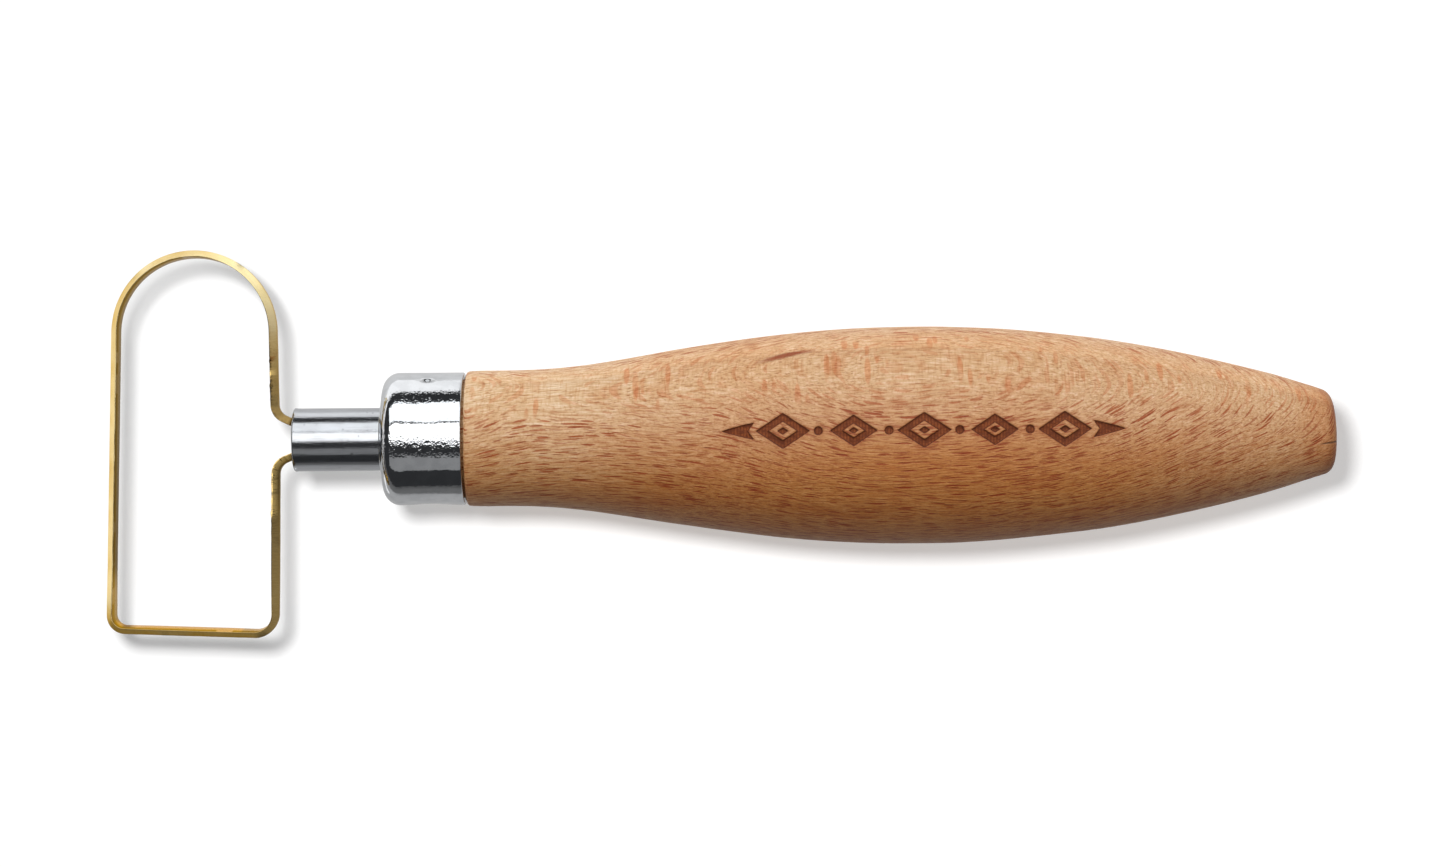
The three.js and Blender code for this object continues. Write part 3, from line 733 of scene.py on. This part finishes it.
# ------------------------------------------------------------------ stem
def stem_piece():
    ri = STEM_R - STEM_WALL
    outer = np.vstack([
        [[0.16, ri]],
        [[0.0, ri + 0.16]],
        [[0.0, STEM_R - 0.34]],
        arc(0.36, STEM_R - 0.30, 0.36, 175, 100, 6),
        np.stack([np.linspace(0.7, 49.4, 60), np.full(60, STEM_R)], axis=-1),
        [[49.8, STEM_R - 0.05], [50.0, STEM_R - 0.25], [50.0, ri + 0.15], [49.85, ri]],
        np.stack([np.linspace(48, 1.0, 12), np.full(12, ri)], axis=-1),
    ])
    angles = np.radians(np.arange(0, 360, 2.5))
    obj = revolve("stem_tube_steel", outer[:, 0], outer[:, 1], angles, closed=True, sharp_deg=40)
    return face_outward(obj)


# ------------------------------------------------------------------ strip
ARCH = (-14.99, 16.275, 12.0)
SQUARE, NEAR = (-28.05, -28.515, 2.3), (-3.02, -29.475, 3.1)
UPPER, LOWER = (-2.78, 3.85, 2.4), (-2.72, -3.52, 2.4)
LEG = (2.25, 1.5, 3.0)
LEG_END = 11.5


def centreline():
    """The strip's middle line as points with tangents and a label of the run each belongs to."""
    rows = []

    def push(x, y, tx, ty, run):
        rows.append((x, y, tx, ty, run))

    def bend(corner, f, t, run):
        f, t = np.array(f, float), np.array(t, float)
        f, t = f / np.linalg.norm(f), t / np.linalg.norm(t)
        turn = math.atan2(f[0] * t[1] - f[1] * t[0], f @ t)
        r = corner[2]
        back = r * math.tan(abs(turn) / 2)
        side = math.copysign(1, turn)
        cx = corner[0] - f[0] * back - f[1] * r * side
        cy = corner[1] - f[1] * back + f[0] * r * side
        steps = max(4, int(abs(turn) * r / 0.22))
        for i in range(steps + 1):
            a = turn * i / steps
            tx = f[0] * math.cos(a) - f[1] * math.sin(a)
            ty = f[0] * math.sin(a) + f[1] * math.cos(a)
            push(cx + ty * r * side, cy - tx * r * side, tx, ty, run)

    def tangent_point(p, side):
        dx, dy = p[0] - ARCH[0], p[1] - ARCH[1]
        d = math.hypot(dx, dy)
        return math.atan2(dy, dx) + side * math.acos(ARCH[2] / d)

    def toward(a, b):
        return (b[0] - a[0], b[1] - a[1])

    up, down = LEG, (LEG[0], -LEG[1], LEG[2])
    a0, a1 = tangent_point(UPPER, 1), tangent_point(SQUARE, -1)
    sweep = (a1 - a0) % (2 * math.pi)
    start = (ARCH[0] + ARCH[2] * math.cos(a0), ARCH[1] + ARCH[2] * math.sin(a0))
    end = (ARCH[0] + ARCH[2] * math.cos(a1), ARCH[1] + ARCH[2] * math.sin(a1))
    push(LEG_END, up[1], -1, 0, 0)
    bend(up, (-1, 0), toward(up, UPPER), 1)
    bend(UPPER, toward(up, UPPER), toward(UPPER, start), 2)
    for i in range(97):
        a = a0 + sweep * i / 96
        push(ARCH[0] + ARCH[2] * math.cos(a), ARCH[1] + ARCH[2] * math.sin(a), -math.sin(a), math.cos(a), 3)
    bend(SQUARE, toward(end, SQUARE), toward(SQUARE, NEAR), 4)
    bend(NEAR, toward(SQUARE, NEAR), toward(NEAR, LOWER), 5)
    bend(LOWER, toward(NEAR, LOWER), toward(LOWER, down), 6)
    bend(down, toward(LOWER, down), (1, 0), 7)
    push(LEG_END, down[1], 1, 0, 8)
    # fill the straight runs
    out = [rows[0]]
    for row in rows[1:]:
        last = out[-1]
        gap = math.hypot(row[0] - last[0], row[1] - last[1])
        steps = max(1, int(math.ceil(gap / 0.42)))
        for k in range(1, steps):
            s = k / steps
            tx, ty = last[2] + (row[2] - last[2]) * s, last[3] + (row[3] - last[3]) * s
            m = math.hypot(tx, ty)
            out.append((last[0] + (row[0] - last[0]) * s, last[1] + (row[1] - last[1]) * s, tx / m, ty / m, row[4]))
        out.append(row)
    return np.array(out)


def strip_piece():
    line = centreline()
    x, y, tx, ty = line[:, 0], line[:, 1], line[:, 2], line[:, 3]
    nx, ny = ty, -tx  # outward, because the loop is walked anticlockwise
    s = np.concatenate([[0], np.cumsum(np.hypot(np.diff(x), np.diff(y)))])
    total = s[-1]
    # section from the inner face round by the upper rim to the outer land: (outward, up)
    section = SECTION
    m = len(section)
    k = len(s)
    rng = np.random.default_rng(77)
    # hand grinding: the bevel's foot and the strip's width wander a little along its length
    foot = curve_noise(s, 3, (7.3, 13.1, 3.7), 0.10)
    width = curve_noise(s, 5, (11.0, 29.0, 5.3), 0.018)
    # burrs where the strip was gripped and bent, on the inner edge near both necks
    def near(mid, half):
        return np.exp(-(((s - mid) / half) ** 2))

    upper_neck = s[np.argmin(np.abs(x - UPPER[0]) + np.abs(y - 8.5) + (np.arange(k) > k // 2) * 99)]
    lower_neck = s[np.argmin(np.abs(x - LOWER[0]) + np.abs(y + 9.0) + (np.arange(k) < k // 2) * 99)]
    grip = near(upper_neck, 4.5) + near(lower_neck, 4.5)
    teeth = np.clip(rng.normal(0, 1, k), 0, 2.2) * 0.055 * grip
    # the lower bar and the arch lean out by a couple of degrees towards the camera
    mid_bar = s[np.argmin(np.abs(x + 15.5) + np.abs(y + 29.0))]
    mid_top = s[np.argmin(np.abs(x + 15.0) + np.abs(y - 28.3))]
    lean = np.radians(4.9) * smooth(0, 1, 1.25 - np.abs(s - mid_bar) / 18.0) + np.radians(1.6) * smooth(0, 1, 1 - np.abs(s - mid_top) / 18.0)
    # the rim's burr is struck flat in scallops below the lower neck, and touched in a spot or two by the upper one
    flat_low = (~(s < s[np.argmin(np.abs(x + 27.0) + np.abs(y + 10.0))])) * (1 - smooth(-9.6, -12.6, y)) * (x > -6) * (x < 3)
    flat_high = near(upper_neck + 1.5, 0.35) * 0.8
    struck = flat_low * np.clip(0.80 + curve_noise(s, 9, (1.9, 1.15, 0.71), 0.70), 0.25, 1.0) + flat_high
    cut = 0.13 * struck
    verts = np.zeros((k, m, 3))
    for j, (u, v) in enumerate(section):
        uu = np.full(k, u)
        vv = np.full(k, v)
        if abs(v) > 0.6 and u > 0:
            vv = vv + np.sign(v) * foot * (0.5 if u < 0.5 else 1.0)
        vv = vv * (1 + width * (abs(v) > 1.5))
        if v > 2.0 and u < -0.4:
            uu = uu - teeth
            vv = vv - teeth * 0.5
            level = 2.25 - cut - 0.02 * (v < 2.24)
            if u > -0.43:
                uu = np.where(cut > 0.03, np.maximum(uu, -0.415 + 0.635 * (2.225 - level)), uu)
            vv = np.minimum(vv, level)
        ru = uu * np.cos(lean) + vv * np.sin(lean)
        rv = vv * np.cos(lean) - uu * np.sin(lean)
        verts[:, j, 0] = x + nx * ru + STATION_0
        verts[:, j, 1] = y + ny * ru + AXIS_Y
        verts[:, j, 2] = rv + AXIS_Z
    v_len = np.concatenate([[0], np.cumsum(np.hypot(*np.diff(np.vstack([section, section[:1]]), axis=0).T))])
    half = s < (s[np.argmin(np.abs(x + 27.0) + np.abs(y + 10.0))])  # the arch half of the walk
    # painted shade on the outer bevel: browner down the near wall and a little along the lower bar
    up_out = (0.56 * (1 - smooth(11.5, 21.5, y)) + 0.08 * (1 - smooth(5.0, 11.0, y))) * half * (x > -16)
    low_out = (0.86 - 0.40 * smooth(6.0, 24.0, -y) + 0.15 * smooth(-12.0, -6.0, y)) * (~half) * (x > -8)
    left_out = 0.42 * smooth(22.0, 28.0, -y) * (x < -20) * (~half)
    bar_out = 0.45 * (y < -27)
    outer_painted_shade = np.where(half, up_out, np.maximum(low_out, np.maximum(left_out, bar_out)))
    # painted highlight: the arch from its top round to the right is made lighter, where it takes the most light
    arch_highlight = half * smooth(-17.0, -9.0, x) * smooth(18.5, 21.5, y)
    # painted shade on the inner face: 1 in the arch and along the far wall, fading at the lower corner
    inner_painted_shade = np.where(half, 0.96, 0.93 * smooth(-28.6, -27.0, y))
    inner_painted_shade = np.where((x > -8) & (~half), 0.55, inner_painted_shade)
    faces, uvs = [], []
    for i in range(k - 1):
        for j in range(m):
            j2 = (j + 1) % m
            faces.append([i * m + j, (i + 1) * m + j, (i + 1) * m + j2, i * m + j2])
            uvs += [(s[i], v_len[j]), (s[i + 1], v_len[j]), (s[i + 1], v_len[j + 1]), (s[i], v_len[j + 1])]
    faces.append(list(range(m)))
    uvs += [(s[0], v_len[j]) for j in range(m)]
    faces.append([(k - 1) * m + j for j in range(m)][::-1])
    uvs += [(total, v_len[j]) for j in range(m)][::-1]
    side = np.repeat((np.clip(near(upper_neck, 5.5), 0, 1))[:, None], m, axis=1)
    weight = np.ones(m)
    rim = np.array([1.0 if (u < -0.4 and v > 2.0) else 0.0 for u, v in section])
    points = {
        "worn": (side * weight).reshape(-1),
        # painted highlight on the struck rim below the lower neck
        "struck_rim_highlight": (np.repeat(np.clip(struck * 2.5, 0, 1)[:, None], m, axis=1) * rim).reshape(-1),
        "inner_painted_shade": np.repeat(inner_painted_shade, m),
        "outer_painted_shade": np.repeat(outer_painted_shade, m),
        "arch_highlight": np.repeat(arch_highlight, m),
    }
    obj = make_object("ribbon_strip", verts.reshape(-1, 3), faces, points, uvs, sharp_deg=24)
    return face_outward(obj)


# ------------------------------------------------------------------ resin and glue
def resin_piece():
    """Cast filling with a sunken, slightly wavy front, as wide as the bore allows; the strip's legs go down into it."""
    r = STEM_R - STEM_WALL - 0.03
    front = np.array([[1.05, 0.0], [1.04, 0.8], [1.0, 1.6], [0.92, 2.4], [0.80, 3.0], [0.66, 3.4], [0.50, 3.68], [0.40, r - 0.03], [0.46, r]])
    back = np.array([[4.0, r], [8.0, r], [12.8, r], [13.15, r - 0.2], [13.25, r - 0.9], [13.1, r - 2.2], [13.0, 0.0]])
    profile = np.vstack([front, back])

    def shift(S, A, R):
        return (0.05 * np.sin(2 * A + 0.5) + 0.04 * np.sin(3 * A + R)) * (S < 2) * np.clip(R / 2.0, 0, 1)

    obj = revolve("resin_fill", profile[:, 0], profile[:, 1], np.radians(np.arange(0, 360, 5.0)), shift=shift, sharp_deg=60)
    return face_outward(obj)


def glue_piece():
    r = BORE_R - 0.06
    profile = np.array([[50.55, 0.0], [50.50, 1.2], [50.42, 2.4], [50.34, 3.5], [50.32, 4.4], [50.36, r - 0.12], [50.55, r - 0.02],
                        [51.5, r], [53.3, r], [53.75, r - 0.15], [53.95, r - 0.7], [54.05, 2.0], [54.07, 0.0]])

    def shift(S, A, R):
        return 0.08 * np.sin(2 * A + R) * (S < 51) * np.clip(R / 3.0, 0, 1) * (R < r - 0.1)

    obj = revolve("glue_slug", profile[:, 0], profile[:, 1], np.radians(np.arange(0, 360, 6.0)), shift=shift, sharp_deg=60)
    return face_outward(obj)


PIECES = [
    (handle_piece, beech, "handle", "beech"),
    (ferrule_piece, chrome, "ferrule", "chrome_plate"),
    (stem_piece, steel, "stem_tube", "stem_steel"),
    (strip_piece, gold, "ribbon_loop", "gold_coating"),
    (resin_piece, resin, "resin_plug", "cast_resin"),
    (glue_piece, glue, "adhesive_slug", "cured_adhesive"),
]
PIECE_OBJECTS = []
for build, material, node, slot in PIECES:
    piece = build()
    PIECE_OBJECTS.append(piece)
    piece.data.materials.append(material())
    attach(piece, "root")
    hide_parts(node)


# ------------------------------------------------------------------ stage: pale floor and soft studio light
# The drop shadow comes from two round lamps above, so that it is offset by the same amount all along the tool: place in
# millimetres from the point under the camera, height above the floor, diameter, and share of the paper's brightness. The
# second one only sees the thin strip, whose own shadow is closer and darker than one lamp would give.
DROPS = {"shadow_key": (-76.0, 78.0, 556.0, 0.090, 0.650), "shadow_strip": (-34.0, 34.0, 556.0, 0.092, 0.318)}
PAPER = 1.03
CENTRE = (STATION_0 + 64.86, AXIS_Y)


def floor():
    n = 96
    radii = [0.0, 0.15, 0.3, 0.5, 0.8, 1.3, 2.2, 4.0]
    pts, faces = [(0.0, 0.0, 0.0)], []
    for r in radii[1:]:
        for k in range(n):
            a = 2 * math.pi * k / n
            pts.append((r * math.cos(a), r * math.sin(a), 0.0))
    for k in range(n):
        faces.append([0, 1 + k, 1 + (k + 1) % n])
    for ring in range(len(radii) - 2):
        for k in range(n):
            a, b = 1 + ring * n + k, 1 + ring * n + (k + 1) % n
            faces.append([a, a + n, b + n, b])
    mesh = bpy.data.meshes.new("floor")
    mesh.from_pydata(pts, [], faces)
    obj = bpy.data.objects.new("floor", mesh)
    bpy.context.scene.collection.objects.link(obj)
    # The paper is overexposed for the camera. What the metal and the wood receive from it is a graded painted glow:
    # light on the far side, half as light on the near side, and dark from about 60 mm out on the near side, a painted
    # reflection of dark surroundings.
    m = Nodes("floor_paper")
    p = m.add("ShaderNodeTexCoord").outputs["Object"]
    x, y, _ = m.split(p)
    seen = m.add("ShaderNodeLightPath").outputs["Is Camera Ray"]

    def paper(albedo, glow, color=(1.0, 1.0, 1.0, 1.0)):
        diffuse = m.add("ShaderNodeBsdfDiffuse")
        diffuse.inputs["Color"].default_value = (albedo, albedo, albedo, 1.0)
        emission = m.add("ShaderNodeEmission")
        emission.inputs["Color"].default_value = color
        m.put(emission.inputs["Strength"], glow)
        both = m.add("ShaderNodeAddShader")
        m.tree.links.new(diffuse.outputs[0], both.inputs[0])
        m.tree.links.new(emission.outputs[0], both.inputs[1])
        return both.outputs[0]

    grade = m.ramp(y, -0.015, 0.035, 0.34, 0.70)
    grade = m.math("MULTIPLY", grade, m.ramp(y, -0.072, -0.052, 0.22, 1.0))
    grade = m.math("MULTIPLY", grade, m.ramp(y, 0.14, 0.30, 1.0, 0.35))
    # painted light: a lighter patch of glow beyond the loop, to the left of it and above
    beyond = m.math("MAXIMUM", m.ramp(x, -0.094, -0.104, 0.0, 1.0), m.math("MULTIPLY", m.ramp(y, 0.033, 0.043), m.ramp(x, -0.010, -0.050, 0.0, 1.0)))
    beyond = m.math("MULTIPLY", beyond, m.ramp(y, -0.05, -0.02))
    # and one just inside the lower bar, painted light as well
    bar = m.math("MULTIPLY", m.ramp(y, -0.0305, -0.0285), m.ramp(y, -0.024, -0.016, 1.0, 0.0))
    bar = m.math("MULTIPLY", bar, m.math("MULTIPLY", m.ramp(x, -0.093, -0.091), m.ramp(x, -0.068, -0.066, 1.0, 0.0)))
    beyond = m.math("MAXIMUM", beyond, m.math("MULTIPLY", bar, 0.9))
    grade = m.math("MAXIMUM", grade, m.math("MULTIPLY", beyond, 1.15))
    mixer = m.add("ShaderNodeMixShader")
    m.put(mixer.inputs[0], seen)
    m.tree.links.new(paper(0.10, grade), mixer.inputs[1])
    # the sheet glows by as much as the two lamps leave open, so that it is one even white where nothing shades it
    glow = PAPER
    for dx, dy, high, _, share in DROPS.values():
        px, py, h = (CENTRE[0] + dx) * MM, (CENTRE[1] + dy) * MM, high * MM
        away = m.vec("SUBTRACT", p, (px, py, 0.0))
        rho = m.vec("DOT_PRODUCT", away, away)
        fall = m.math("DIVIDE", h * h, m.math("ADD", rho, h * h))
        glow = m.math("SUBTRACT", glow, m.math("MULTIPLY", m.math("MULTIPLY", fall, fall), share))
    m.tree.links.new(paper(0.86, glow), mixer.inputs[2])
    m.tree.links.new(mixer.outputs[0], m.out.inputs["Surface"])
    mesh.materials.append(m.material)
    return obj




def softbox(name, angle_from, angle_to, radiance, length=2.4, distance=1.2, x_angle=0.0, color=(1, 1, 1), spread=180.0):
    """A rectangular light that spans the given angles from straight up towards +Y, as seen from the tool."""
    mid = math.radians((angle_from + angle_to) / 2)
    half = math.radians(abs(angle_to - angle_from) / 2)
    width = 2 * distance * math.tan(half)
    light = bpy.data.lights.new(name, "AREA")
    light.shape = "RECTANGLE"
    light.size, light.size_y = length, width
    light.energy = radiance * math.pi * length * width
    light.color = color
    light.spread = math.radians(spread)
    obj = bpy.data.objects.new(name, light)
    bpy.context.scene.collection.objects.link(obj)
    rot = Matrix.Rotation(math.radians(x_angle), 4, "Y") @ Matrix.Rotation(-mid, 4, "X")
    centre = rot @ Vector((0, 0, distance))
    obj.matrix_world = Matrix.Translation(centre + Vector((-0.02, AXIS_Y * MM, AXIS_Z * MM))) @ rot
    obj.visible_camera = False
    return obj


floor_obj = floor()
only_tool = bpy.data.collections.new("only_tool")
for piece in PIECE_OBJECTS:
    only_tool.objects.link(piece)
only_floor = bpy.data.collections.new("only_floor")
only_floor.objects.link(floor_obj)
for box in (
    softbox("key_near", -5.5, 27.0, 2.0),
    softbox("key_far", 30.0, 65.5, 1.6, color=(0.965, 0.985, 1.0)),
    softbox("fill_card", -56.0, -31.5, 0.26),
):
    box.light_linking.receiver_collection = only_tool
# the wood takes more of the high light than the bright metal does
only_wood = bpy.data.collections.new("only_wood")
only_wood.objects.link(PIECE_OBJECTS[0])
softbox("key_wood", 30.0, 65.5, 2.4).light_linking.receiver_collection = only_wood

strip_only = bpy.data.collections.new("strip_only")
strip_only.objects.link(PIECE_OBJECTS[3])
for name, (dx, dy, high, size, share) in DROPS.items():
    drop = bpy.data.lights.new(name, "AREA")
    drop.shape = "DISK"
    drop.size = size
    drop.energy = share * math.pi ** 2 * (high * MM) ** 2 / 0.86
    drop_obj = bpy.data.objects.new(name, drop)
    bpy.context.scene.collection.objects.link(drop_obj)
    drop_obj.location = Vector(((CENTRE[0] + dx) * MM, (CENTRE[1] + dy) * MM, high * MM))
    drop_obj.visible_camera = False
    drop_obj.light_linking.receiver_collection = only_floor
    if name == "shadow_strip":
        drop_obj.light_linking.blocker_collection = strip_only

world = bpy.data.worlds.new("studio")
bpy.context.scene.world = world
world.use_nodes = True
wt = world.node_tree
wt.nodes.clear()
w_out = wt.nodes.new("ShaderNodeOutputWorld")
w_dark = wt.nodes.new("ShaderNodeBackground")
w_dark.inputs["Color"].default_value = (0.035, 0.036, 0.038, 1)
w_white = wt.nodes.new("ShaderNodeBackground")
w_white.inputs["Color"].default_value = (1.0, 1.0, 1.0, 1)
w_path = wt.nodes.new("ShaderNodeLightPath")
w_mix = wt.nodes.new("ShaderNodeMixShader")
wt.links.new(w_path.outputs["Is Camera Ray"], w_mix.inputs[0])
wt.links.new(w_dark.outputs[0], w_mix.inputs[1])
wt.links.new(w_white.outputs[0], w_mix.inputs[2])
wt.links.new(w_mix.outputs[0], w_out.inputs["Surface"])

bpy.context.scene.view_settings.view_transform = "Standard"
bpy.context.scene.view_settings.look = "None"
